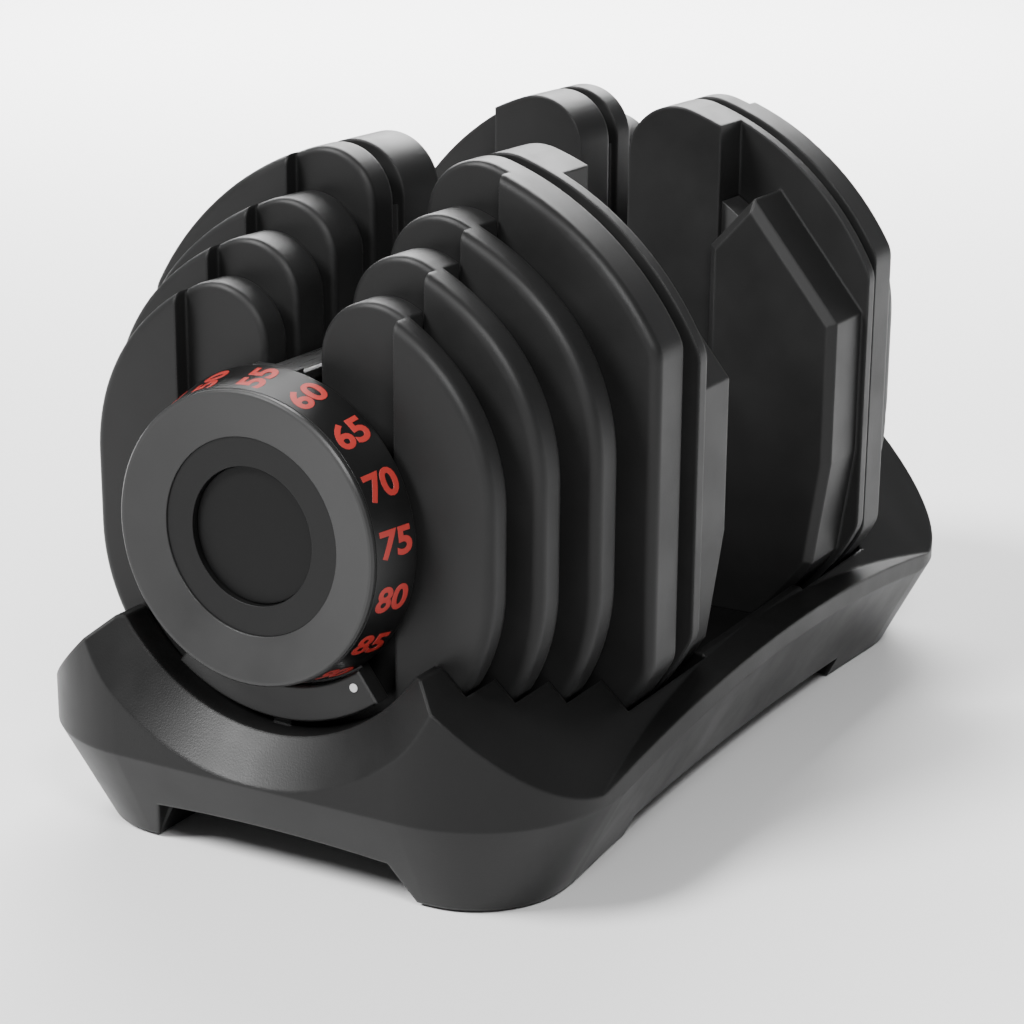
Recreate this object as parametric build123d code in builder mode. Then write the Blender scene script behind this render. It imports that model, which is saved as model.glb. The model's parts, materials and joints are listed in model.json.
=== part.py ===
"""Dial-type adjustable dumbbell standing in its moulded dock.

X runs along the dumbbell, Y across it and Z up.  The origin is on the floor under the dock's centre.
Pieces at the two ends mirror each other about X = 0.  Each is made once at the +X end, called right.
"""

import math
import os
from build123d import *

# ---------------------------------------------------------------- driving dimensions, millimetres
hand_gap = 104.0  # between the two innermost plates
dock_floor = 23.0  # flat bottoms of the plates above the ground

settings = 17  # numbers on each dial
setting_angle = 360 / settings
plate_names = ("a", "b", "c", "d", "e")  # outermost and lightest first
plate_units = (1, 2, 3, 4, 6)  # each plate's weight, in steps of the dial

# plate outlines, from a to e
plate_radius = (96.0, 108.0, 118.5, 134.0, 134.0)
plate_half_width = (90.0, 99.0, 108.5, 118.0, 121.0)
side_round = (75.0, 80.0, 85.0, 14.0, 14.0)
plate_bottom = 119.0  # flat bottoms, below the axis
slot_clearance = 0.8  # between a plate's slot and the selector sleeve
lobe_round = 23.0  # where the slot opens at the top

# plate thicknesses
inner_plate_thickness = 37.0
plate_pitch = (21.5, 26.0, 28.5, 30.0)  # a to b, b to c, c to d, d to e
rim_wall = (11.0, 13.5, 14.0, 21.0)  # thickness of the rims of plates a to d
channel_depth = 7.0
lobe_edge_round = 2.5
nest_gap = 1.0  # between one plate's back and the next plate's pads
relief_depth = 26.0  # radial depth of the groove behind each rim
cover_wall = 3.5
rim_round = 4.0

# innermost plate
flange_thickness = 6.0
hand_face_depth = 10.0  # its pads stand this far towards the hand
pad_groove = 3.0
pad_inner = 57.0
pad_chamfer_low = 70.0
pad_shoulder = (77.0, 92.0)
pad_corner_height = 41.0
pad_side_height = 22.0  # where the pad's side starts to draw in, below the axis
pad_foot = (11.0, 78.0)  # in from the plate's side, and below the axis
pad_bottom_margin = 19.0
pad_bevel = 3.5

# handle
tube_radius = 8.0
tube_reach = 5.4  # past the back of the dial
grip_radius = 18.5
grip_end_radius = 15.5
grip_groove = 0.9
grip_groove_width = 1.8
grip_grooves = 9
grip_groove_pitch = 8.0
guard_thickness = 8.0
guard_setback = 1.0  # clear of the plate behind it
guard_margin = 11.0  # between the guard's edge and the pads beside it
guard_bevel = 1.5
sleeve_wall = 3.2
sleeve_gap = 0.5
bridge_width = 16.0
bridge_thickness = 5.0
bridge_bevel = 0.8
bridge_clearance = 9.0  # above the selector discs

# selector tube, discs and hooks
running_fit = 0.08
end_float = 0.4
disc_radius = 45.0
disc_clearance = 3.8  # around the disc, in the plate's channel
disc_rim = 1.0
ridge_width = 4.0
hook_height = 6.3
hook_half_width = 5.0
hook_length = 3.4
hook_gap = 0.7
window_gap = 0.2
ridge_start = 0.6
ridge_length = 3.6
disc_thickness = 2.4

# dial
dial_depth = 22.5
dial_radius = 57.0
dial_lip = 0.8
dial_lip_depth = 2.4
dial_bevel = 1.8
ring_flare = 4.5  # the number ring widens by this much towards its back
ring_thickness = 2.6
ring_gap = 0.2
dial_wall = 4.0
face_ring_width = 18.5
inset_width = 11.5
inner_ring_sink = 4.2
inset_slope = 0.6
cap_sink = 8.0
cap_thickness = 2.6
hub_wall = 5.3
index_ring_width = 4.9
tooth_depth = 2.3
index_thickness = 5.6
index_seat = 0.6
bolt_clearance = 0.2
bolt_recess = 0.9  # around the bolt's head

# end housing
housing_gap = 0.2
housing_thickness = 4.5
housing_overlap = 1.0
housing_bevel = 0.8
turning_gap = 0.3
skirt_width = 14.5
skirt_thickness = 8.3
skirt_half_angle = 36.5
skirt_ring_gap = 1.0
tab_margin = 2.0

# lock slider and detent
slider_width = 12.0
slider_thickness = 2.0
slider_gap = 0.3
slider_drop = 4.0
slider_seat_gap = 2.0  # between the slider's top and the spring's seat
slider_recess = 5.7  # the slider's foot, inside the skirt's edge
lock_height = 6.2
lock_half_width = 1.6
lock_length = 4.6
spring_wire = 0.6
spring_radius = 1.7
spring_turns = 6
spring_standoff = 2.9
boss_clearance = 1.5  # between the dial's hub and the bosses around it
spring_seat_height = 4.0
boss_length = 5.4
detent_setback = 4.0  # of the detent's boss, behind the spring seat's edge
detent_floor = 2.0
detent_boss_half = 4.5
detent_travel = 1.2
ball_radius = 2.2

# screws and small pieces
bolt_radius = 3.0
bolt_depth = 24.0
bolt_head_overlap = 1.4  # the head over the end of the dial's hub
bolt_head_length = 4.2
screw_radius = 2.0
screw_head_radius = 3.4
screw_head_length = 2.4
bridge_screw_reach = 10.0
hex_radius = 1.6
bolt_hex_radius = 2.6
hex_depth = 1.6
window_inset = 9.5  # from the skirt's edge
window_angle = 31.8
window_size = 1.7
window_depth = 1.2
window_proud = 0.3

# dock
dock_setback = 0.5  # its ends, inside the dials' faces
dock_margin = 4.0  # its sides, outside the widest plate
dock_corner = 60.0
dock_base = 1.5  # underside of the moulding above the floor
saddle_gap = 3.5  # around the skirt
peak_rise = 10.5  # peaks, in from the saddle's greatest half width
peak_drop = 45.0  # peaks below the axis
shoulder_slope = 0.9
rim_drop = 79.0  # side rims below the axis, along the middle
rim_margin = 37.0
rim_sink = 2.0
band_width = 18.0
band_depth = 12.0
undercut_drop = 99.0
undercut_angle = 27.0
undercut_depth = 31.0
rim_lip = 8.0  # height of the lip along each side, above the undercut
bay_gap = 1.5
trough_drop = 96.0
trough_margin = 35.0
trough_flare = 14.0
end_leg_width = 63.0
end_arch_height = 22.0
end_arch_rise = 2.5  # the arch's middle above its shoulders
end_arch_slope = 8.0
end_arch_margin = 20.0
side_leg_length = 117.0
side_arch_height = 11.0
foot_radius = 9.0
foot_height = 3.5
foot_margin = (57.0, 43.0)  # foot centres, in from the dock's end and side
post_half_width = 4.0
cell_size = 36.0
rib_thickness = 4.0
cell_columns = 6
cell_rows = 4
floor_wall = 3.5

overshoot = 1.0  # how far a cut runs past what it cuts
tolerance = 0.01

# ---------------------------------------------------------------- sizes that follow from them
axis_height = plate_bottom + dock_floor
hand_face = hand_gap / 2
pad_plane = [hand_face + inner_plate_thickness]  # outermost face of each plate
for pitch in reversed(plate_pitch):
    pad_plane.insert(0, pad_plane[0] + pitch)
floor_plane = [plane - channel_depth for plane in pad_plane[:-1]] + [pad_plane[-1]]
back_plane = [plane + nest_gap for plane in pad_plane[1:-1]] + [pad_plane[-2] - rim_wall[-1]]
band_face = hand_face + hand_face_depth
sleeve_radius = tube_radius + sleeve_wall
slot_half_width = sleeve_radius + slot_clearance
channel_half_width = disc_radius + disc_clearance
ridge_outer = disc_radius - disc_rim
ridge_inner = ridge_outer - ridge_width
hook_bottom = ridge_inner - hook_gap
hook_top = hook_bottom - hook_height
guard_face = band_face - guard_setback - guard_thickness
guard_radius = pad_inner - guard_margin
bridge_height = disc_radius + bridge_clearance
bridge_middle = bridge_height + bridge_thickness / 2
housing_back = pad_plane[0] + housing_gap
housing_front = housing_back + housing_thickness
ring_back = housing_front + turning_gap
half_length = ring_back + dial_depth
tube_end = ring_back + tube_reach
number_ring_radius = dial_radius + ring_flare
cup_radius = dial_radius - ring_thickness
dial_inner_ring = dial_radius - face_ring_width
dial_cap_radius = dial_inner_ring - inset_width
hub_radius = sleeve_radius + hub_wall
bolt_head_radius = sleeve_radius + bolt_head_overlap
spring_seat_low = hub_radius + boss_clearance
spring_seat_high = spring_seat_low + spring_seat_height
slider_top = spring_seat_high + slider_seat_gap
detent_low = spring_seat_low + detent_setback
tooth_tip_radius = cup_radius - dial_wall - index_ring_width
housing_radius = dial_radius + housing_overlap
skirt_radius = number_ring_radius + skirt_ring_gap + skirt_width
slider_foot = skirt_radius - slider_recess
lock_tip = tooth_tip_radius - slider_gap - slider_drop
lock_root = lock_tip - lock_height
detent_rest = tooth_tip_radius - slider_gap - ball_radius
spring_x = housing_front + spring_standoff
dock_half_length = half_length - dock_setback
dock_half_width = max(plate_half_width) + dock_margin
saddle_radius = skirt_radius + saddle_gap
peak_half_width = saddle_radius - peak_rise
foot_x = dock_half_length - foot_margin[0]
foot_y = dock_half_width - foot_margin[1]


def across(x):
    """The plane square to the dumbbell axis at X = x, with its origin on the axis."""
    return Plane(origin=(x, 0, axis_height), x_dir=(0, 1, 0), z_dir=(1, 0, 0))


def lengthwise():
    """The XZ plane through the axis, for profiles turned about the axis."""
    return Plane(origin=(0, 0, axis_height), x_dir=(1, 0, 0), z_dir=(0, -1, 0))


def save(part, name):
    """Write one finished piece."""
    part.label = name
    export_step(part, f"parts/{name}.step")


def save_pair(builder, name):
    """Write the right-hand piece and its mirror image at the left end."""
    with BuildPart() as mirrored:
        mirror(builder.part, about=Plane.YZ)
    save(builder.part, f"{name}_right")
    save(mirrored.part, f"{name}_left")


def turned(points):
    """Turn a closed profile of (x, radius) points about the dumbbell axis, in the current part."""
    with BuildSketch(lengthwise()) as profile:
        with BuildLine():
            Polyline(*points, close=True)
        make_face()
    revolve(profile.sketch, axis=Axis((0, 0, axis_height), (1, 0, 0)))


def corners_at(sketch, half_width, above=-math.inf):
    """The corners of a sketch on either vertical line at the given half width."""
    return [corner for corner in sketch.vertices()
            if abs(abs(corner.X) - half_width) < tolerance and corner.Y > above]


def plate_face(index, grow=0.0, slotted=True):
    """A plate's outline, grown all round by grow."""
    radius = plate_radius[index] + grow
    half_width = plate_half_width[index] + grow
    drop = plate_bottom + grow
    with BuildSketch() as face:
        Circle(radius)
        with Locations((0, (radius - drop) / 2)):
            Rectangle(2 * half_width, radius + drop, mode=Mode.INTERSECT)
        fillet(corners_at(face, half_width), side_round[index])
        if slotted:
            with Locations((0, radius)):
                Rectangle(2 * slot_half_width, 2 * radius, mode=Mode.SUBTRACT)
            Circle(slot_half_width, mode=Mode.SUBTRACT)
            fillet(corners_at(face, slot_half_width, above=radius / 2), lobe_round)
    return face.sketch


def core_face(index):
    """The outline of a plate's steel core."""
    radius = plate_radius[index] - relief_depth - cover_wall
    half_slot = slot_half_width + cover_wall
    drop = plate_bottom - cover_wall
    with BuildSketch() as face:
        Circle(radius)
        with Locations((0, (radius - drop) / 2)):
            Rectangle(2 * radius, radius + drop, mode=Mode.INTERSECT)
        with Locations((0, radius)):
            Rectangle(2 * half_slot, 2 * radius, mode=Mode.SUBTRACT)
        Circle(half_slot, mode=Mode.SUBTRACT)
    return face.sketch


def hook_face(grow=0.0):
    """The outline of a plate's hook, under the dumbbell axis."""
    with BuildSketch() as face:
        with Locations((0, -(hook_top + hook_bottom) / 2)):
            Rectangle(2 * (hook_half_width + grow), hook_bottom - hook_top + 2 * grow)
    return face.sketch


def engaged(index, setting):
    """Whether a plate is lifted at a dial setting: the heaviest plates that fit are taken first."""
    left_over = setting
    for other in reversed(range(len(plate_units))):
        taken = plate_units[other] <= left_over
        if taken:
            left_over -= plate_units[other]
        if other == index:
            return taken
    return False


def slab(face, start, end, mode=Mode.ADD):
    """Extrude a face from X = start to X = end in the current part."""
    with BuildSketch(across(start)) as profile:
        add(face)
    extrude(profile.sketch, amount=end - start, mode=mode)


def make_core(index, start, end):
    """A plate's steel core, with the hook that the selector disc lifts."""
    outline, hook = core_face(index), hook_face()
    hook_end = floor_plane[index] + hook_length
    with BuildPart() as core:
        slab(outline, start, end)
        slab(hook, start, hook_end)
    save_pair(core, f"plate_{plate_names[index]}_core")


def make_outer_plate(index):
    """Plates a to d: a moulded cover with channel, pads and rim groove, over a steel core."""
    back, level, pads = back_plane[index], floor_plane[index], pad_plane[index]
    rim_back = pads - rim_wall[index]
    outline, outline_core = plate_face(index), core_face(index)
    window = hook_face(window_gap)
    radius = plate_radius[index]
    with BuildSketch() as pad:
        add(outline)
        Rectangle(2 * channel_half_width, 4 * radius, mode=Mode.SUBTRACT)
    with BuildSketch() as groove:
        Circle(2 * radius)
        Circle(radius - relief_depth, mode=Mode.SUBTRACT)
        Rectangle(2 * channel_half_width, 5 * radius, mode=Mode.SUBTRACT)
    with BuildPart() as cover:
        slab(outline, back, level)
        fillet(cover.faces().sort_by(Axis.X)[-1].outer_wire().edges(), lobe_edge_round)
        slab(pad.sketch, level - channel_depth, pads)
        rims = [edge for face in cover.faces().sort_by(Axis.X)[-2:] for edge in face.edges()
                if abs(edge.center().Y) > channel_half_width + overshoot]
        fillet(rims, rim_round)
        if rim_back > back:
            slab(groove.sketch, back, rim_back, mode=Mode.SUBTRACT)
        slab(outline_core, back, level - cover_wall, mode=Mode.SUBTRACT)
        slab(window, back, level + overshoot, mode=Mode.SUBTRACT)
    save_pair(cover, f"plate_{plate_names[index]}_cover")
    make_core(index, back, level - cover_wall)


def make_inner_plate():
    """Plate e: its raised pads face the hand and its core is let in from the other side."""
    index = len(plate_names) - 1
    outer_face = pad_plane[index]
    outline, outline_core = plate_face(index), core_face(index)
    shrunk = plate_face(index, -pad_groove, slotted=False)
    pad_side = plate_half_width[index] - pad_groove
    foot_side = plate_half_width[index] - pad_foot[0]
    pad_bottom = plate_bottom - pad_bottom_margin
    with BuildSketch() as band:
        add(outline)
        Rectangle(2 * pad_inner, 4 * plate_radius[index], mode=Mode.INTERSECT)
    with BuildSketch() as pads:
        with BuildLine():
            Polyline((pad_inner, -pad_bottom), (pad_inner, pad_chamfer_low), pad_shoulder,
                     (pad_side, pad_corner_height), (pad_side, -pad_side_height),
                     (foot_side, -pad_foot[1]), (foot_side, -pad_bottom), close=True)
        make_face()
        add(shrunk, mode=Mode.INTERSECT)
        mirror(about=Plane.YZ)
    with BuildPart() as cover:
        slab(outline, outer_face - flange_thickness, outer_face)
        slab(band.sketch, band_face, outer_face - flange_thickness)
        slab(pads.sketch, hand_face, outer_face - flange_thickness)
        raised = [edge for face in cover.faces().sort_by(Axis.X)[:2] for edge in face.edges()]
        chamfer(raised, pad_bevel)
        slab(outline_core, band_face + cover_wall, outer_face, mode=Mode.SUBTRACT)
    save_pair(cover, f"plate_{plate_names[index]}_cover")
    make_core(index, band_face + cover_wall, outer_face)


def make_selector():
    """The sleeve that turns on the handle tube, and the disc in front of each plate."""
    tube_start = pad_plane[-1] - guard_setback
    with BuildPart() as tube:
        slab(ring_face(sleeve_radius, tube_radius + running_fit), tube_start, ring_back - end_float)
    save_pair(tube, "selector_tube")
    rest_setting = settings - 1
    with BuildPart() as discs:
        for index in range(len(plate_names)):
            with BuildSketch() as ridge:
                Circle(ridge_outer)
                Circle(ridge_inner, mode=Mode.SUBTRACT)
                for setting in range(settings):
                    if not engaged(index, setting):
                        turn = -90 + (setting - rest_setting) * setting_angle
                        add(wedge_face(turn, setting_angle / 2), mode=Mode.SUBTRACT)
            level = floor_plane[index]
            flange_start = level + ridge_start + ridge_length
            slab(ring_face(disc_radius, sleeve_radius), flange_start, flange_start + disc_thickness)
            slab(ridge.sketch, level + ridge_start, flange_start)
    save_pair(discs, "selector_discs")


def ring_face(outer, inner):
    """A flat ring about the axis."""
    with BuildSketch() as face:
        Circle(outer)
        Circle(inner, mode=Mode.SUBTRACT)
    return face.sketch


def wedge_face(angle, half_angle, radius=2 * disc_radius):
    """A thin pie slice centred on an angle, to cut sectors with."""
    with BuildSketch() as face:
        with BuildLine():
            middle = Vector(radius, 0).rotate(Axis.Z, angle)
            low = Vector(radius, 0).rotate(Axis.Z, angle - half_angle)
            high = Vector(radius, 0).rotate(Axis.Z, angle + half_angle)
            ThreePointArc(low, middle, high)
            Line(high, (0, 0))
            Line((0, 0), low)
        make_face()
    return face.sketch


def make_dial():
    """The dial: cup, number ring, inset ring, centre cap and the notched index ring inside it."""
    face_x, back_x = half_length, ring_back
    front_back = face_x - inner_ring_sink - dial_wall
    hub_front = tube_end - bolt_clearance
    seat_x = face_x - cap_sink - cap_thickness
    web_back = seat_x - dial_wall
    web_outer = dial_inner_ring + dial_wall
    recess_radius = bolt_head_radius + bolt_recess
    with BuildPart() as body:
        turned([
            (face_x, dial_radius - dial_lip), (face_x - dial_lip, dial_radius),
            (face_x - dial_lip_depth, dial_radius), (face_x - dial_lip_depth, cup_radius),
            (back_x + index_seat, cup_radius), (back_x + index_seat, cup_radius - dial_wall),
            (front_back, cup_radius - dial_wall), (front_back, web_outer), (web_back, web_outer),
            (web_back, hub_radius), (back_x + end_float, hub_radius), (back_x + end_float, sleeve_radius),
            (hub_front, sleeve_radius), (hub_front, recess_radius), (seat_x, recess_radius),
            (seat_x, dial_inner_ring), (face_x - inner_ring_sink, dial_inner_ring),
            (face_x, dial_radius - dial_bevel),
        ])
    save_pair(body, "dial")
    with BuildPart() as inset:
        turned([
            (seat_x, dial_inner_ring), (seat_x, dial_cap_radius),
            (face_x - inner_ring_sink - 2 * inset_slope, dial_cap_radius),
            (face_x - inner_ring_sink - inset_slope, dial_inner_ring),
        ])
    save_pair(inset, "dial_inset")
    with BuildPart() as cap:
        with BuildSketch(across(seat_x)):
            Circle(dial_cap_radius - end_float)
        extrude(amount=cap_thickness)
    save_pair(cap, "dial_cap")
    with BuildPart() as ring:
        ring_front = face_x - dial_lip_depth - ring_gap
        turned([
            (ring_front, dial_radius + ring_gap), (ring_front, cup_radius), (back_x, cup_radius),
            (back_x, number_ring_radius),
        ])
    save_pair(ring, "number_ring")
    with BuildPart() as index_ring:
        start = back_x + index_seat
        slab(ring_face(cup_radius - dial_wall, tooth_tip_radius), start, start + index_thickness)
        with BuildSketch(across(start)):
            with PolarLocations(tooth_tip_radius, settings, start_angle=-90):
                Circle(tooth_depth)
        extrude(amount=index_thickness, mode=Mode.SUBTRACT)
    save_pair(index_ring, "index_ring")


def make_housing():
    """The fixed end housing behind the dial, with its skirt, and the small pieces that it carries."""
    back, front = housing_back, housing_front
    slider_back = front - slider_thickness - slider_gap
    half_groove = slider_width / 2 + slider_gap
    skirt = wedge_face(-90, skirt_half_angle)
    tab_height = bridge_height + bridge_thickness + tab_margin
    window_spot = Vector(skirt_radius - window_inset, 0).rotate(Axis.Z, -90 - window_angle)
    with BuildSketch() as skirt_face:
        Circle(skirt_radius)
        Circle(number_ring_radius + skirt_ring_gap, mode=Mode.SUBTRACT)
        add(skirt, mode=Mode.INTERSECT)
    with BuildSketch() as plate:
        Circle(housing_radius)
        with BuildSketch(mode=Mode.PRIVATE) as sector:
            Circle(skirt_radius)
            add(skirt, mode=Mode.INTERSECT)
        add(sector.sketch)
        with Locations((0, tab_height / 2)):
            Rectangle(bridge_width + 2 * tab_margin, tab_height)
        Circle(sleeve_radius + sleeve_gap, mode=Mode.SUBTRACT)
    with BuildPart() as housing:
        slab(plate.sketch, back, front)
        slab(skirt_face.sketch, back, back + skirt_thickness)
        front_edges = housing.faces().sort_by(Axis.X)[-1].edges()
        chamfer(front_edges, housing_bevel)
        with BuildSketch(across(front)):
            with Locations((0, -(spring_seat_low + spring_seat_high) / 2)):
                Rectangle(2 * half_groove + 2 * tab_margin, spring_seat_high - spring_seat_low)
            with Locations((0, (detent_low + detent_rest) / 2)):
                Rectangle(2 * detent_boss_half, detent_rest - detent_low)
        extrude(amount=boss_length)
        with BuildSketch(across(slider_back)):
            with Locations((0, -(skirt_radius + tab_margin + spring_seat_high) / 2)):
                Rectangle(2 * half_groove, skirt_radius + tab_margin - spring_seat_high)
        extrude(amount=slider_thickness + 2 * slider_gap, mode=Mode.SUBTRACT)
        with BuildSketch(Plane.XY.offset(axis_height + detent_low + detent_floor)):
            with Locations((spring_x, 0)):
                Circle(ball_radius + bolt_clearance)
        extrude(amount=detent_rest, mode=Mode.SUBTRACT)
        with BuildSketch(across(back + skirt_thickness - window_depth)):
            with Locations(window_spot):
                Circle(window_size)
        extrude(amount=2 * window_depth, mode=Mode.SUBTRACT)
        with BuildSketch(across(front - screw_head_length)):
            with Locations((0, bridge_middle)):
                Circle(screw_head_radius)
        extrude(amount=screw_head_length, mode=Mode.SUBTRACT)
        with BuildSketch(across(back)):
            with Locations((0, bridge_middle)):
                Circle(screw_radius)
        extrude(amount=housing_thickness, mode=Mode.SUBTRACT)
    save_pair(housing, "end_housing")
    with BuildPart() as window:
        with BuildSketch(across(back + skirt_thickness - window_depth)):
            with Locations(window_spot):
                Circle(window_size)
        extrude(amount=window_depth + window_proud)
    save_pair(window, "setting_pointer")

    with BuildPart() as slider:
        with BuildSketch(across(slider_back + slider_gap / 2)):
            with Locations((0, -(slider_top + slider_foot) / 2)):
                Rectangle(slider_width, slider_foot - slider_top)
        extrude(amount=slider_thickness)
        with BuildSketch(across(slider_back + slider_gap / 2 + slider_thickness)):
            with Locations((0, -(lock_tip + lock_root) / 2)):
                Rectangle(2 * lock_half_width, lock_tip - lock_root)
        extrude(amount=lock_length)
    save_pair(slider, "lock_slider")
    make_spring("lock_spring", -lock_root, -spring_seat_high)
    make_spring("detent_spring", detent_low + detent_floor, detent_rest - ball_radius - detent_travel)
    with BuildPart() as ball:
        with Locations((spring_x, 0, axis_height + detent_rest)):
            Sphere(ball_radius)
    save_pair(ball, "detent_ball")


def make_spring(name, low, high):
    """A coil spring standing on the line of the lock slider and the detent ball."""
    start = axis_height + low + spring_wire
    height = high - low - 2 * spring_wire
    with BuildPart() as spring:
        with BuildLine():
            coil = Helix(pitch=height / spring_turns, height=height, radius=spring_radius,
                         center=(spring_x, 0, start))
        with BuildSketch(Plane(origin=coil @ 0, z_dir=coil % 0)):
            Circle(spring_wire / 2)
        sweep()
    save_pair(spring, name)


def make_handle():
    """The tube, the grip on it, and at each end the guard, the bridge over the discs and the screws."""
    with BuildPart() as tube:
        with BuildSketch(across(-tube_end)):
            Circle(tube_radius)
        extrude(amount=2 * tube_end)
        for end in (-1, 1):
            with BuildSketch(across(end * (tube_end - bolt_depth))):
                Circle(bolt_radius)
            extrude(amount=end * bolt_depth, mode=Mode.SUBTRACT)
    save(tube.part, "handle_tube")

    reach = guard_face
    with BuildPart() as grip:
        with BuildSketch(lengthwise()):
            with BuildLine():
                ThreePointArc((-reach, grip_end_radius), (0, grip_radius), (reach, grip_end_radius))
                Polyline((reach, grip_end_radius), (reach, tube_radius), (-reach, tube_radius),
                         (-reach, grip_end_radius))
            make_face()
        revolve(axis=Axis((0, 0, axis_height), (1, 0, 0)))
        for number in range(grip_grooves):
            x = (number - (grip_grooves - 1) / 2) * grip_groove_pitch
            depth = grip_groove + (grip_radius - grip_end_radius) * (x / reach) ** 2
            slab(ring_face(2 * grip_radius, grip_radius - depth), x - grip_groove_width / 2,
                 x + grip_groove_width / 2, mode=Mode.SUBTRACT)
    save(grip.part, "grip")

    guard_top = bridge_height + bridge_thickness + tab_margin
    with BuildSketch() as guard_outline:
        Circle(guard_radius)
        with Locations((0, guard_top / 2)):
            Rectangle(bridge_width + 4 * tab_margin, guard_top)
        Circle(tube_radius, mode=Mode.SUBTRACT)
    with BuildPart() as guard:
        slab(guard_outline.sketch, guard_face, guard_face + guard_thickness)
        chamfer(guard.faces().sort_by(Axis.X)[0].outer_wire().edges(), guard_bevel)
        slab(ring_face(sleeve_radius, tube_radius), guard_face + guard_thickness,
             pad_plane[-1] - guard_setback - sleeve_gap)
        bridge_hole(guard_face, guard_thickness, screw_radius)
        bridge_hole(guard_face, screw_head_length, screw_head_radius)
    save_pair(guard, "inner_guard")

    start, end = guard_face + guard_thickness, housing_back
    with BuildPart() as bridge:
        with BuildSketch(across(start)):
            with Locations((0, bridge_middle)):
                Rectangle(bridge_width, bridge_thickness)
        extrude(amount=end - start)
        chamfer(bridge.edges().filter_by(Axis.X), bridge_bevel)
        bridge_hole(start, bridge_screw_reach, screw_radius)
        bridge_hole(end, -bridge_screw_reach, screw_radius)
    save_pair(bridge, "bridge")
    with BuildPart() as screws:
        for head, way in ((guard_face, 1), (housing_front, -1)):
            bridge_stud(head, way * screw_head_length, screw_head_radius)
            wall = guard_thickness if way > 0 else housing_thickness
            bridge_stud(head + way * screw_head_length, way * (wall - screw_head_length + bridge_screw_reach),
                        screw_radius)
        for head, way in ((guard_face, 1), (housing_front, -1)):
            with BuildSketch(across(head)):
                with Locations((0, bridge_middle)):
                    RegularPolygon(hex_radius, 6)
            extrude(amount=way * hex_depth, mode=Mode.SUBTRACT)
    save_pair(screws, "bridge_screws")
    with BuildPart() as bolt:
        turned([
            (tube_end, 0), (tube_end, bolt_head_radius),
            (tube_end + bolt_head_length, bolt_head_radius - bridge_bevel), (tube_end + bolt_head_length, 0),
        ])
        with BuildSketch(across(tube_end)):
            Circle(bolt_radius)
        extrude(amount=end_float - bolt_depth)
        with BuildSketch(across(tube_end + bolt_head_length)):
            RegularPolygon(bolt_hex_radius, 6)
        extrude(amount=-hex_depth, mode=Mode.SUBTRACT)
    save_pair(bolt, "dial_bolt")


def bridge_stud(start, length, radius):
    """A round on the bridge's screw line, added to the current part."""
    with BuildSketch(across(start)) as profile:
        with Locations((0, bridge_middle)):
            Circle(radius)
    extrude(profile.sketch, amount=length)


def bridge_hole(start, length, radius):
    """A hole on the bridge's screw line, cut from the current part."""
    with BuildSketch(across(start)) as profile:
        with Locations((0, bridge_middle)):
            Circle(radius)
    extrude(profile.sketch, amount=length, mode=Mode.SUBTRACT)


def dock_envelope():
    """The dock's rounded plan, upright above the undercut and drawn in below it."""
    turn_height = axis_height - undercut_drop
    with BuildPart() as envelope:
        with BuildSketch(Plane.XY.offset(turn_height)):
            RectangleRounded(2 * dock_half_length, 2 * dock_half_width, dock_corner)
        extrude(amount=axis_height)
        with BuildSketch(Plane(origin=(0, 0, turn_height), x_dir=(1, 0, 0), z_dir=(0, 0, -1))):
            RectangleRounded(2 * dock_half_length, 2 * dock_half_width, dock_corner)
        extrude(amount=turn_height - dock_base, taper=undercut_angle)
    return envelope.part


def dock_section():
    """The dock's cross-section at its ends: two peaks beside the saddle, and shoulders sloping away."""
    base = dock_base - axis_height
    side_drop = peak_drop + shoulder_slope * (dock_half_width - peak_half_width)
    with BuildSketch() as section:
        with BuildLine():
            Polyline((-dock_half_width, base), (-dock_half_width, -side_drop), (-peak_half_width, -peak_drop),
                     (peak_half_width, -peak_drop), (dock_half_width, -side_drop), (dock_half_width, base),
                     close=True)
        make_face()
    return section.sketch, side_drop


def trough_section():
    """The space for the hand: flat across the middle, and flared up to the side rims."""
    half_width = dock_half_width - trough_margin
    flare = half_width + trough_flare
    side = dock_half_width + overshoot
    with BuildSketch() as trough:
        with BuildLine():
            Polyline((-half_width, -trough_drop), (half_width, -trough_drop), (flare, -rim_drop),
                     (side, -rim_drop), (side, 0), (-side, 0), (-side, -rim_drop), (-flare, -rim_drop),
                     close=True)
        make_face()
    return trough.sketch


def cut_box(x, size, top):
    """Cut a box that is centred on y = 0 and open to the floor from the current part."""
    with Locations((x, 0, top / 2)):
        Box(size[0], size[1], top, mode=Mode.SUBTRACT)


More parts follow.
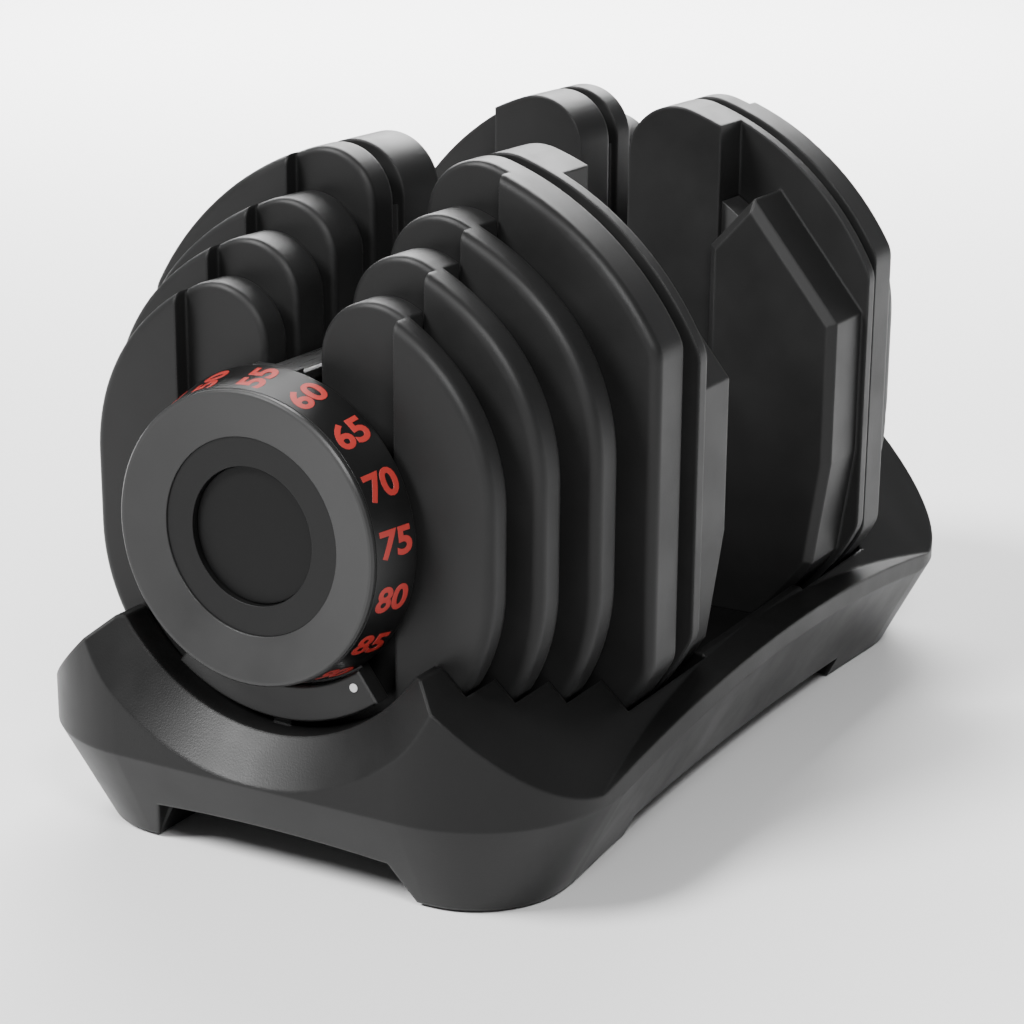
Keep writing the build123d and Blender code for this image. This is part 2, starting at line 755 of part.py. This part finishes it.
def make_dock():
    """The moulded dock: saddles at the ends, a stepped bay for the plates, and a trough for the hand."""
    envelope, trough = dock_envelope(), trough_section()
    section, side_drop = dock_section()
    rim_reach = dock_half_length - rim_margin
    last = len(plate_names) - 1
    with BuildSketch() as saddle:
        Circle(saddle_radius)
    post_middle = housing_front - slider_gap / 2 - slider_thickness / 2
    post_top = slider_foot + slider_gap
    under_floor = dock_floor - bay_gap - floor_wall
    with BuildPart() as dock:
        slab(section, -dock_half_length, dock_half_length)
        # the rim rises along the middle of each side
        with BuildSketch(Plane.XZ.offset(-dock_half_width)):
            with BuildLine():
                low = axis_height - side_drop - rim_sink
                rise = ThreePointArc((-rim_reach, low), (0, axis_height - rim_drop), (rim_reach, low))
                Line(rise @ 1, rise @ 0)
            make_face()
        extrude(amount=2 * dock_half_width)
        add(envelope, mode=Mode.INTERSECT)
        for side in (-1, 1):
            cut_side_undercut(side, rim_reach, side_drop)
        for end in (-1, 1):
            slab(saddle.sketch, end * (pad_plane[0] + bay_gap), end * (dock_half_length + overshoot),
                 mode=Mode.SUBTRACT)
            cut_band(end)
        for index in range(last + 1):
            start = hand_face - bay_gap if index == last else pad_plane[index + 1] + bay_gap
            bay = plate_face(index, bay_gap, slotted=False)
            for end in (-1, 1):
                slab(bay, end * start, end * (pad_plane[index] + bay_gap), mode=Mode.SUBTRACT)
        slab(trough, bay_gap - hand_face, hand_face - bay_gap, mode=Mode.SUBTRACT)
        cut_box(0, (2 * (dock_half_length - side_leg_length), 2 * dock_half_width), side_arch_height)
        for end in (-1, 1):
            cut_end_arch(end, pad_plane[1] - end_arch_margin, under_floor)
            cut_end_arch(end, pad_plane[0] + bay_gap + floor_wall, end_arch_height)
        with Locations((0, 0, under_floor / 2)):
            with GridLocations(cell_size + rib_thickness, cell_size + rib_thickness, cell_columns, cell_rows):
                Box(cell_size, cell_size, under_floor, mode=Mode.SUBTRACT)
        for end in (-1, 1):
            post_height = saddle_radius - post_top + overshoot
            with Locations((end * post_middle, 0, axis_height - post_top - post_height / 2)):
                Box(slider_thickness, 2 * post_half_width, post_height)
        with BuildSketch(Plane.XY.offset(dock_base)):
            with GridLocations(2 * foot_x, 2 * foot_y, 2, 2):
                Circle(foot_radius)
        extrude(amount=foot_height - dock_base, mode=Mode.SUBTRACT)
    save(dock.part, "dock")
    with BuildPart() as feet:
        with BuildSketch():
            with GridLocations(2 * foot_x, 2 * foot_y, 2, 2):
                Circle(foot_radius)
        extrude(amount=foot_height)
    save(feet.part, "dock_feet")


def cut_end_arch(end, start, height):
    """Cut the arch between the legs of one end, from X = start outwards, from the current part."""
    half_width = dock_half_width - end_leg_width
    shoulder = half_width - end_arch_slope
    with BuildSketch(Plane.YZ.offset(end * start)) as arch:
        with BuildLine():
            Polyline((-shoulder, height - end_arch_rise), (-half_width, 0), (half_width, 0),
                     (shoulder, height - end_arch_rise))
            ThreePointArc((shoulder, height - end_arch_rise), (0, height),
                          (-shoulder, height - end_arch_rise))
        make_face()
    extrude(arch.sketch, amount=end * (dock_half_length - start), mode=Mode.SUBTRACT)


def cut_side_undercut(side, reach, side_drop):
    """Draw one side in below its lip, which follows the rim, from the current part."""
    fall = undercut_depth / math.tan(math.radians(undercut_angle))
    sections = []
    for inward, drop in ((0, 0), (undercut_depth, fall)):
        low = axis_height - side_drop - rim_sink - rim_lip - drop
        middle = axis_height - rim_drop - rim_lip - drop
        with BuildSketch(Plane.XZ.offset(side * (inward - dock_half_width))) as section:
            with BuildLine():
                top = ThreePointArc((-reach, low), (0, middle), (reach, low))
                Polyline(top @ 1, (reach, -axis_height), (-reach, -axis_height), top @ 0)
            make_face()
        sections.append(section.sketch)
    loft(sections, ruled=True, mode=Mode.SUBTRACT)


def cut_band(end):
    """Cut the sloping band around a saddle's front edge from the current part."""
    start, finish = dock_half_length - band_depth, dock_half_length + band_depth
    with BuildSketch(lengthwise()) as profile:
        with BuildLine():
            Polyline((end * start, saddle_radius - overshoot), (end * start, saddle_radius),
                     (end * finish, saddle_radius + 2 * band_width),
                     (end * finish, saddle_radius - overshoot), close=True)
        make_face()
    revolve(profile.sketch, axis=Axis((0, 0, axis_height), (1, 0, 0)), mode=Mode.SUBTRACT)


os.makedirs("parts", exist_ok=True)
for number in range(len(plate_names) - 1):
    make_outer_plate(number)
make_inner_plate()
make_selector()
make_dial()
make_housing()
make_handle()
make_dock()
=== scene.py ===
import json
import math

import bmesh
import bpy
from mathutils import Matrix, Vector


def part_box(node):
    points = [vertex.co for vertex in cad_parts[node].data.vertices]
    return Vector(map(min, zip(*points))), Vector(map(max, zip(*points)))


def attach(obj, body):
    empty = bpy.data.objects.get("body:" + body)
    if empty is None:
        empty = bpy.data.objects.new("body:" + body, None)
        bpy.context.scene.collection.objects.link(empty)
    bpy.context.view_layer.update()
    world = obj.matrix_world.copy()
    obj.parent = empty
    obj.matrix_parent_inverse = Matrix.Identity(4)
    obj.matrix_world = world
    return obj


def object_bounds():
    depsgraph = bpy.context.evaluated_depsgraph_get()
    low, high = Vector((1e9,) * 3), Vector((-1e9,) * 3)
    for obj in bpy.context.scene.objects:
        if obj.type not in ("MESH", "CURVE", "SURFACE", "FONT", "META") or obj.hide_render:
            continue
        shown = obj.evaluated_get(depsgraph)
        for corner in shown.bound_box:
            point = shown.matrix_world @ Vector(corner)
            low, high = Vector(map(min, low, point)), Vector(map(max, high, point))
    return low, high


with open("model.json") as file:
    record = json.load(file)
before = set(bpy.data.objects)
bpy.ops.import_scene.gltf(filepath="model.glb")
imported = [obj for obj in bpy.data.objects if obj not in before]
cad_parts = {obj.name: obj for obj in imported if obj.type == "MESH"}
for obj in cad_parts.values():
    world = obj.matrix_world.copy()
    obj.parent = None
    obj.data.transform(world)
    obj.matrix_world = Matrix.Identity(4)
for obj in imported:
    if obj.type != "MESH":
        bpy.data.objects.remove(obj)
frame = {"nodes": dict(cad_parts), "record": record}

# Looks for the adjustable dumbbell in its dock. Metres, in the CAD frame: X along the dumbbell, Z up.
cad_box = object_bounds()
MM = 0.001
SIDES = ("left", "right")
SETTINGS = 17
FIRST_NUMBER, NUMBER_STEP = 10, 5  # the dial reads 10 to 90 in steps of 5
POINTER_ANGLE = 31.8  # degrees from straight down to the setting pointer, towards -Y


# ---------------------------------------------------------------- materials

PATCHES_PER_METRE = 28.0
PATCH_START, PATCH_END = 0.3, 0.75  # where the noise turns from the dark tone to the pale one
PATCH_DARK, PATCH_PALE = 0.86, 1.12  # of the material's own tone
EDGE_WEAR_HIGHLIGHT_GAIN, EDGE_WEAR_HIGHLIGHT_LIFT = 2.2, 0.02  # tone of an edge, paler for rubbed wear and for a painted highlight
EDGE_START, EDGE_END = 0.995, 0.8  # cosine between the rounded normal and the true one
ROUGH_NOISE = (0.3, 0.7)  # the part of the noise that moves the roughness
METAL_SCRATCHES_PER_METRE = 60
METAL_EDGE = 0.4 * MM
METAL_DARK, METAL_PALE = 0.8, 1.15


def new_material(name):
    """A node material with its Principled shader, and short ways to add a node and to link two."""
    material = bpy.data.materials.new(name)
    material.use_nodes = True
    tree = material.node_tree
    shader = tree.nodes["Principled BSDF"]

    def node(kind, **settings):
        made = tree.nodes.new(kind)
        for key, value in settings.items():
            if key in made.inputs:
                made.inputs[key].default_value = value
            else:
                setattr(made, key, value)
        return made

    return material, shader, node, tree.links.new


def remapped(node, link, source, source_range, target_range):
    """A node output that carries one range of values over to another."""
    remap = node("ShaderNodeMapRange")
    remap.inputs["From Min"].default_value, remap.inputs["From Max"].default_value = source_range
    remap.inputs["To Min"].default_value, remap.inputs["To Max"].default_value = target_range
    link(source, remap.inputs["Value"])
    return remap.outputs["Result"]


def blended(node, link, source, dark, pale, start=0.0, end=1.0):
    """A node output that turns from a dark colour to a pale one as the source rises."""
    ramp = node("ShaderNodeValToRGB")
    low, high = ramp.color_ramp.elements
    low.position, high.position = start, end
    low.color, high.color = [*dark, 1], [*pale, 1]
    link(source, ramp.inputs["Fac"])
    return ramp.outputs["Color"]


def moulded(name, tone, rough, grain=0.55, depth=0.05, edge=1.2, wear_and_highlight=0.35, sheen=0.0, specular=0.5):
    """Moulded plastic or rubber: fine spark-eroded grain, soft patches, and paler edges, partly rubbed wear
    and partly a painted highlight.

    grain and depth are the texture's pitch and height in mm, edge the rounding that the light sees in mm.
    """
    material, shader, node, link = new_material(name)
    place = node("ShaderNodeTexCoord").outputs["Object"]
    fine = node("ShaderNodeTexNoise", Scale=1 / (grain * MM), Detail=2.0, Roughness=0.6)
    patch = node("ShaderNodeTexNoise", Scale=PATCHES_PER_METRE, Detail=3.0, Roughness=0.55)
    link(place, fine.inputs["Vector"])
    link(place, patch.inputs["Vector"])

    rounded = node("ShaderNodeBevel", Radius=edge * MM, samples=4)
    bump = node("ShaderNodeBump", Strength=0.8, Distance=depth * MM)
    link(fine.outputs["Fac"], bump.inputs["Height"])
    link(rounded.outputs["Normal"], bump.inputs["Normal"])
    link(bump.outputs["Normal"], shader.inputs["Normal"])

    # where the rounded normal leaves the true one there is an edge, painted paler: partly wear from hands and
    # docking, partly a painted highlight
    geometry = node("ShaderNodeNewGeometry")
    same = node("ShaderNodeVectorMath", operation="DOT_PRODUCT")
    link(rounded.outputs["Normal"], same.inputs[0])
    link(geometry.outputs["Normal"], same.inputs[1])
    worn_and_lit = remapped(node, link, same.outputs["Value"], (EDGE_START, EDGE_END), (0.0, wear_and_highlight))
    broken = node("ShaderNodeMath", operation="MULTIPLY")
    link(worn_and_lit, broken.inputs[0])
    link(patch.outputs["Fac"], broken.inputs[1])

    dark, pale = [c * PATCH_DARK for c in tone], [c * PATCH_PALE for c in tone]
    mottled = blended(node, link, patch.outputs["Fac"], dark, pale, PATCH_START, PATCH_END)
    colour = node("ShaderNodeMix", data_type="RGBA")
    # the paler edge tone stands partly for rubbed wear and partly for a painted highlight
    colour.inputs["B"].default_value = [min(1.0, c * EDGE_WEAR_HIGHLIGHT_GAIN + EDGE_WEAR_HIGHLIGHT_LIFT) for c in tone] + [1]
    link(broken.outputs["Value"], colour.inputs["Factor"])
    link(mottled, colour.inputs["A"])
    link(colour.outputs["Result"], shader.inputs["Base Color"])

    uneven = remapped(node, link, patch.outputs["Fac"], ROUGH_NOISE, (rough - 0.05, rough + 0.06))
    link(uneven, shader.inputs["Roughness"])
    shader.inputs["Specular IOR Level"].default_value = specular
    shader.inputs["Sheen Weight"].default_value = sheen
    shader.inputs["Sheen Roughness"].default_value = 0.4
    return material


def metal(name, tone, rough, stretch=(1.0, 30.0, 30.0)):
    """Drawn or turned steel: long fine scratches, cloudy tone, uneven roughness and softly lit edges."""
    material, shader, node, link = new_material(name)
    place = node("ShaderNodeTexCoord").outputs["Object"]
    along = node("ShaderNodeMapping", Scale=[s * METAL_SCRATCHES_PER_METRE for s in stretch])
    link(place, along.inputs["Vector"])
    scratch = node("ShaderNodeTexNoise", Scale=1.0, Detail=4.0, Roughness=0.7)
    link(along.outputs["Vector"], scratch.inputs["Vector"])
    cloud = node("ShaderNodeTexNoise", Scale=60.0, Detail=2.0)
    link(place, cloud.inputs["Vector"])

    rounded = node("ShaderNodeBevel", Radius=METAL_EDGE, samples=4)
    bump = node("ShaderNodeBump", Strength=0.25, Distance=0.02 * MM)
    link(scratch.outputs["Fac"], bump.inputs["Height"])
    link(rounded.outputs["Normal"], bump.inputs["Normal"])
    link(bump.outputs["Normal"], shader.inputs["Normal"])

    dark, pale = [c * METAL_DARK for c in tone], [min(1.0, c * METAL_PALE) for c in tone]
    link(blended(node, link, cloud.outputs["Fac"], dark, pale), shader.inputs["Base Color"])
    uneven = remapped(node, link, scratch.outputs["Fac"], ROUGH_NOISE, (rough - 0.06, rough + 0.08))
    link(uneven, shader.inputs["Roughness"])
    shader.inputs["Metallic"].default_value = 1.0
    return material


def grey(value):
    """A neutral tone."""
    return [value, value, value]


# each edge tone stands for rubbed wear and a painted highlight; the plates' is the strongest, painted light
# along their rims
MOULDINGS = {
    "plate_cover": dict(tone=grey(0.0085), rough=0.42, edge=1.8, wear_and_highlight=0.6, specular=0.18),
    "dock_plastic": dict(tone=grey(0.0042), rough=0.40, grain=0.7, depth=0.06, edge=2.0, wear_and_highlight=0.5,
                         specular=0.20),
    "foot_rubber": dict(tone=grey(0.010), rough=0.75, edge=0.6, wear_and_highlight=0.1),
    "grip_rubber": dict(tone=grey(0.013), rough=0.62, grain=0.9, depth=0.08, edge=0.8, sheen=0.1),
    "dial_plastic": dict(tone=grey(0.018), rough=0.36, grain=0.45, depth=0.03, edge=0.6, wear_and_highlight=0.25,
                         specular=0.25),
    "number_ring_plastic": dict(tone=grey(0.003), rough=0.36, grain=0.4, depth=0.02, edge=0.6, specular=0.3),
    "housing_plastic": dict(tone=grey(0.007), rough=0.45, edge=1.0, specular=0.3),
    "disc_plastic": dict(tone=grey(0.03), rough=0.5, edge=0.6, wear_and_highlight=0.5),
    "pointer_white": dict(tone=grey(0.6), rough=0.35, edge=0.3, depth=0.01, wear_and_highlight=0.0),
    "number_paint": dict(tone=[0.24, 0.014, 0.010], rough=0.5, grain=0.3, depth=0.02, edge=0.2, wear_and_highlight=0.2),
    "dial_inset": dict(tone=grey(0.0025), rough=0.45, grain=0.45, depth=0.03, edge=0.5, wear_and_highlight=0.15,
                       specular=0.2),
    "dial_cap": dict(tone=grey(0.0018), rough=0.5, grain=0.45, depth=0.03, edge=0.5, wear_and_highlight=0.1, specular=0.15),
}
METALS = {
    "plate_steel": dict(tone=grey(0.12), rough=0.5),
    "bar_steel": dict(tone=grey(0.36), rough=0.3),
    "zinc_steel": dict(tone=grey(0.55), rough=0.28, stretch=(20.0, 20.0, 1.0)),
    "spring_steel": dict(tone=grey(0.4), rough=0.3, stretch=(10.0, 10.0, 10.0)),
}
OWN_FINISH = ("dial_inset", "dial_cap")  # darker than the dial that carries them

finishes = {name: moulded(name, **look) for name, look in MOULDINGS.items()}
finishes.update({name: metal(name, **look) for name, look in METALS.items()})


def dress_nodes():
    """Give every CAD node the finish of its slot in the record, or its own."""
    slot_of = {part["node"]: part["material_slot"] for part in frame["record"]["subparts"]}
    for name, obj in frame["nodes"].items():
        if not obj.material_slots:
            obj.data.materials.append(None)
        own = name.rsplit("_", 1)[0]
        for slot in obj.material_slots:
            slot.material = finishes[own if own in OWN_FINISH else slot_of[name]]


# ---------------------------------------------------------------- numerals on the dials

NUMBER_HEIGHT = 11.0 * MM  # around the ring
NUMBER_WIDTH = 15.5 * MM  # along the ring, both digits
NUMBER_BOLDNESS = 0.03
PAINT_THICKNESS = 0.25 * MM
PAINT_SINK = 0.05 * MM
LETTER_SLICES = 12


def slice_mesh(mesh):
    """Cut a flat letter across at even steps, so that it can follow the ring's curve."""
    work = bmesh.new()
    work.from_mesh(mesh)
    for step in range(1, LETTER_SLICES):
        height = step / LETTER_SLICES
        everything = work.verts[:] + work.edges[:] + work.faces[:]
        bmesh.ops.bisect_plane(work, geom=everything, plane_co=(0, height, 0), plane_no=(0, 1, 0))
    work.to_mesh(mesh)
    work.free()


def numeral_mesh(text):
    """A flat two-digit number, NUMBER_WIDTH by NUMBER_HEIGHT, centred on the origin."""
    curve = bpy.data.curves.new("numeral", "FONT")
    curve.body = text
    curve.offset = NUMBER_BOLDNESS
    curve.extrude = 0.5
    curve.resolution_u = 4
    letter = bpy.data.objects.new("numeral", curve)
    bpy.context.collection.objects.link(letter)
    bpy.context.view_layer.update()
    mesh = bpy.data.meshes.new_from_object(letter.evaluated_get(bpy.context.evaluated_depsgraph_get()))
    bpy.data.objects.remove(letter)
    slice_mesh(mesh)
    xs, ys = [v.co.x for v in mesh.vertices], [v.co.y for v in mesh.vertices]
    for vertex in mesh.vertices:
        vertex.co.x = ((vertex.co.x - min(xs)) / (max(xs) - min(xs)) - 0.5) * NUMBER_WIDTH
        vertex.co.y = ((vertex.co.y - min(ys)) / (max(ys) - min(ys)) - 0.5) * NUMBER_HEIGHT
        vertex.co.z = (vertex.co.z + 0.5) * PAINT_THICKNESS
    return mesh


def wrap_numbers(side):
    """All of one dial's numbers, laid on its conical ring as one mesh."""
    sign = 1 if side == "right" else -1
    low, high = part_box(f"number_ring_{side}")
    centre_z = (low.z + high.z) / 2
    back_radius = (high.z - low.z) / 2
    dial_low, dial_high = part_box(f"dial_{side}")
    front_radius = (dial_high.z - dial_low.z) / 2
    front_x = max(abs(low.x), abs(high.x))
    back_x = min(abs(low.x), abs(high.x))
    middle_x = (front_x + back_x) / 2
    vertices, faces = [], []
    for setting in range(SETTINGS):
        mesh = numeral_mesh(str(FIRST_NUMBER + NUMBER_STEP * setting))
        turn = math.radians(-90 - POINTER_ANGLE + (setting - SETTINGS + 1) * 360 / SETTINGS)
        start = len(vertices)
        for vertex in mesh.vertices:
            # both dials are read from the -Y side, where their pointers are
            x = middle_x + sign * vertex.co.x
            cone = back_radius + (front_radius - back_radius) * (x - back_x) / (front_x - back_x)
            angle = turn - vertex.co.y / cone
            radius = cone - PAINT_SINK + vertex.co.z
            vertices.append((sign * x, radius * math.cos(angle), centre_z + radius * math.sin(angle)))
        faces += [[start + index for index in polygon.vertices] for polygon in mesh.polygons]
        bpy.data.meshes.remove(mesh)
    joined = bpy.data.meshes.new(f"dial_numbers_{side}")
    joined.from_pydata(vertices, [], faces)
    joined.validate()
    joined.update()
    piece = bpy.data.objects.new(f"dial_numbers_{side}", joined)
    bpy.context.collection.objects.link(piece)
    joined.materials.append(finishes["number_paint"])
    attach(piece, f"{side}_dial")


# ---------------------------------------------------------------- floor, light and camera

FLOOR_HALF_SIZE = 30.0
FLOOR_DARK, FLOOR_PALE = 0.60, 0.64


def stage_floor():
    """A pale studio floor, wide enough that its edge is not seen from above."""
    size = FLOOR_HALF_SIZE
    mesh = bpy.data.meshes.new("floor")
    corners = [(-size, -size, 0), (size, -size, 0), (size, size, 0), (-size, size, 0)]
    mesh.from_pydata(corners, [], [(0, 1, 2, 3)])
    floor = bpy.data.objects.new("floor", mesh)
    bpy.context.collection.objects.link(floor)
    material, shader, node, link = new_material("studio_floor")
    cloud = node("ShaderNodeTexNoise", Scale=2.0)
    shade = blended(node, link, cloud.outputs["Fac"], [FLOOR_DARK] * 3, [FLOOR_PALE] * 3)
    link(shade, shader.inputs["Base Color"])
    shader.inputs["Roughness"].default_value = 0.7
    mesh.materials.append(material)


def soft_surroundings(colour, strength):
    """Even light from all round, as from a white room."""
    world = bpy.data.worlds.new("studio")
    world.use_nodes = True
    background = world.node_tree.nodes["Background"]
    background.inputs["Color"].default_value = colour
    background.inputs["Strength"].default_value = strength
    bpy.context.scene.world = world


def softbox(name, place, aim, size, power):
    """A square area light at place, facing aim."""
    data = bpy.data.lights.new(name, "AREA")
    data.size = size
    data.energy = power
    light = bpy.data.objects.new(name, data)
    light.location = place
    light.rotation_mode = "QUATERNION"
    light.rotation_quaternion = (Vector(aim) - Vector(place)).to_track_quat("-Z", "Y")
    bpy.context.collection.objects.link(light)


def key_light(name, direction, strength, spread):
    """A broad, even light from one direction, as from a large diffuser."""
    data = bpy.data.lights.new(name, "SUN")
    data.energy = strength
    data.angle = math.radians(spread)
    light = bpy.data.objects.new(name, data)
    light.rotation_mode = "QUATERNION"
    light.rotation_quaternion = (-Vector(direction)).to_track_quat("-Z", "Y")
    bpy.context.collection.objects.link(light)


def studio_camera(azimuth, elevation, distance, target, lens, shift):
    """A camera that looks at target from the given side, as the product is usually shown."""
    turn, rise = math.radians(azimuth), math.radians(elevation)
    back = Vector((math.sin(turn) * math.cos(rise), -math.cos(turn) * math.cos(rise), math.sin(rise)))
    data = bpy.data.cameras.new("camera")
    data.lens = lens
    data.shift_x, data.shift_y = shift
    camera = bpy.data.objects.new("camera", data)
    camera.location = Vector(target) + back * distance
    camera.rotation_mode = "QUATERNION"
    camera.rotation_quaternion = (-back).to_track_quat("-Z", "Y")
    bpy.context.collection.objects.link(camera)
    bpy.context.scene.camera = camera


# ---------------------------------------------------------------- the scene

dress_nodes()
for side in SIDES:
    wrap_numbers(side)

stage_floor()
soft_surroundings(colour=(0.95, 0.95, 0.96, 1), strength=0.3)
middle = (cad_box[0] + cad_box[1]) / 2
# the key lights the faces and the dock's front band, and the small softbox draws a line along the rims
key_light("key", direction=(-0.60, 0.40, 0.72), strength=8.0, spread=20)
softbox("rims", place=(-0.95, -0.80, 1.15), aim=middle, size=0.4, power=26)
# this one hangs over the floor behind the dumbbell and keeps the background white
softbox("backdrop", place=(2.6, 1.6, 1.7), aim=(2.6, 1.6, 0.0), size=3.0, power=480)
studio_camera(azimuth=-59.3, elevation=17.1, distance=1.05, target=(-0.075, -0.006, 0.115), lens=88.0,
              shift=(0.05, 0.0))
